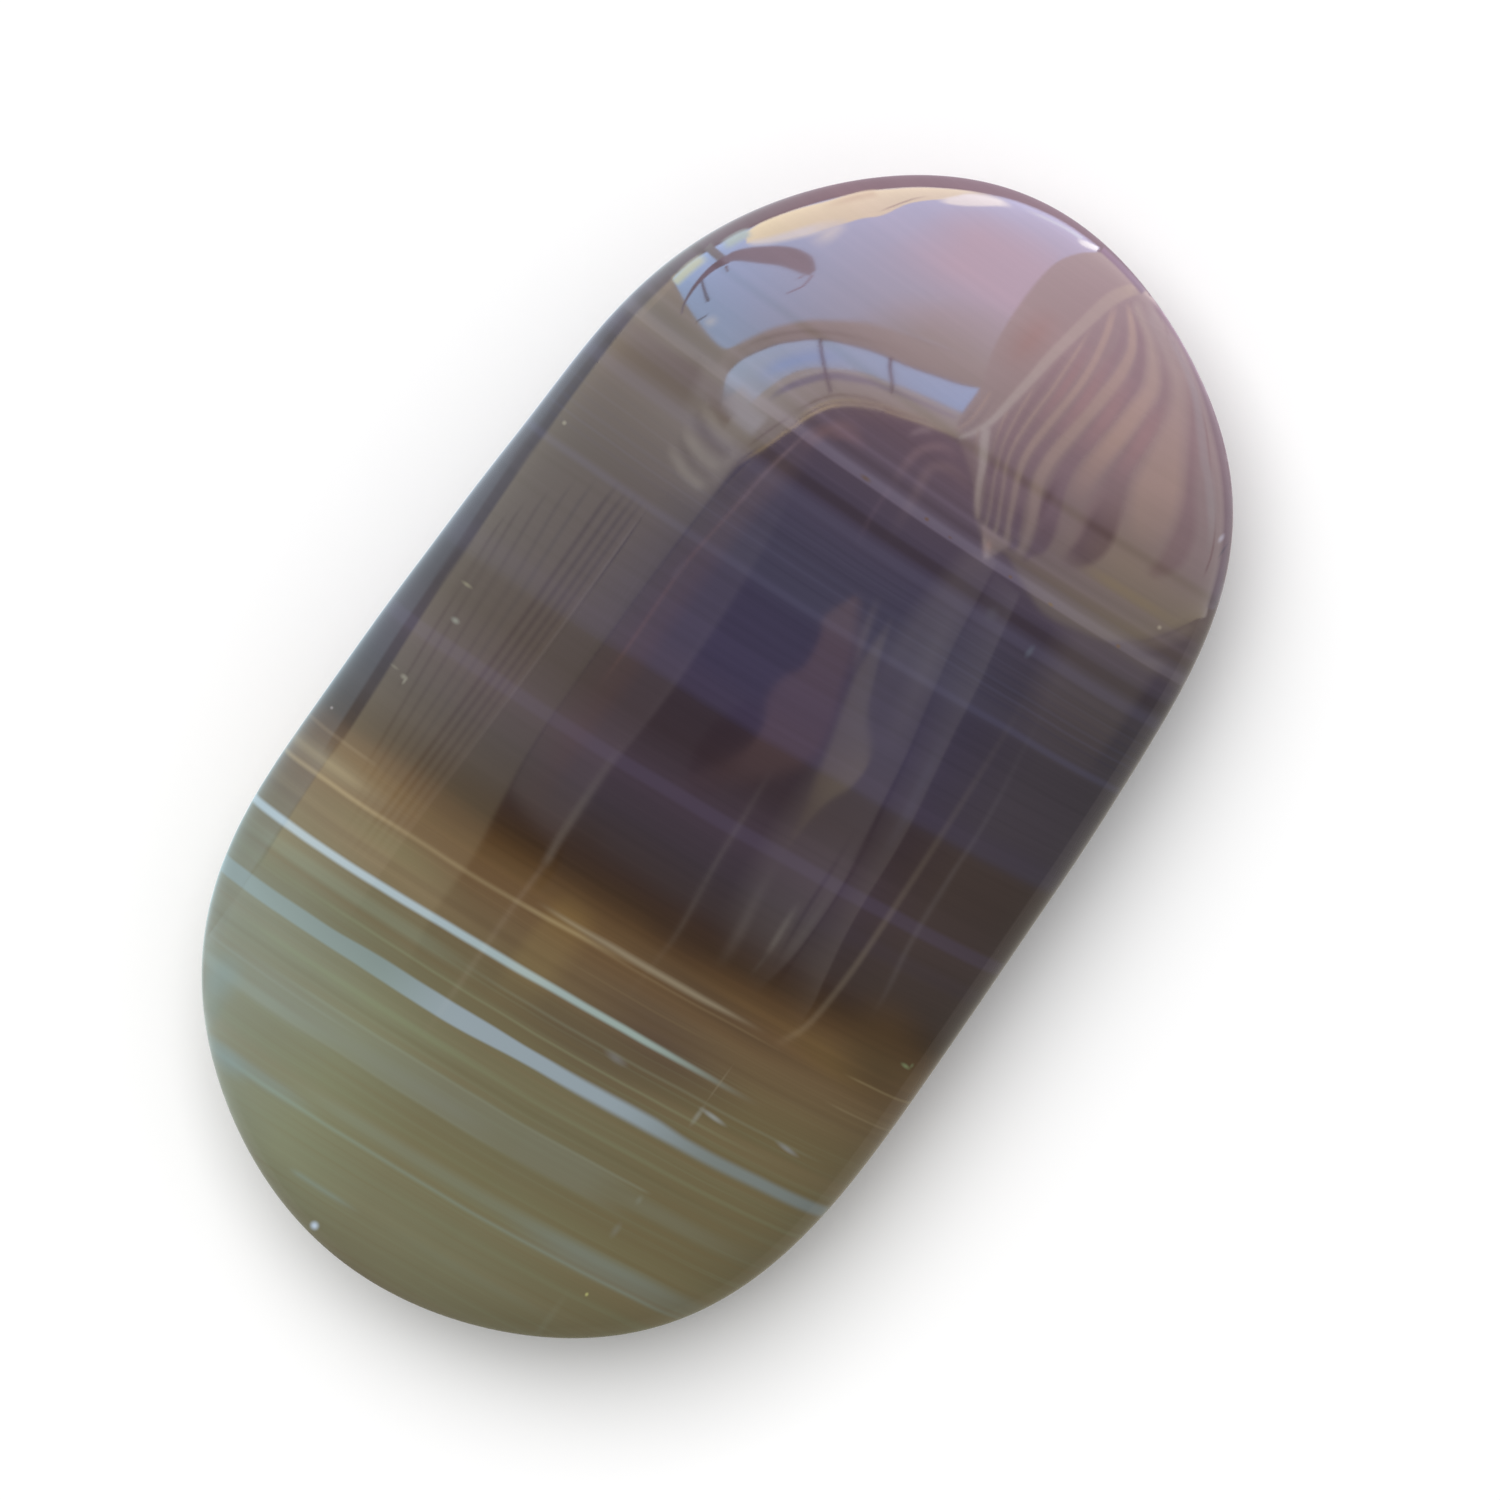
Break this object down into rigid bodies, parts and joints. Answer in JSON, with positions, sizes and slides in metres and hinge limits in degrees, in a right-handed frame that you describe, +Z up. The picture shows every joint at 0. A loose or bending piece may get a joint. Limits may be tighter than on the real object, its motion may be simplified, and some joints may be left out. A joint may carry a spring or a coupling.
{
  "type": "agate touchstone",
  "caption": "Polished banded agate pebble with a full round edge, kept in the hand as a touchstone; lies on a small ground flat.",
  "frame": {"origin": "on the surface that the stone lies on, under the centre of its bounding box", "axes": "+X along the stone's length towards its blunt pinkish head, +Y across the stone, +Z up through its thickness"},
  "size_m": [0.05, 0.0282, 0.011],
  "materials": {
    "agate": "polished"
  },
  "bodies": {
    "root": {"stone": "agate"}
  },
  "joints": []
}
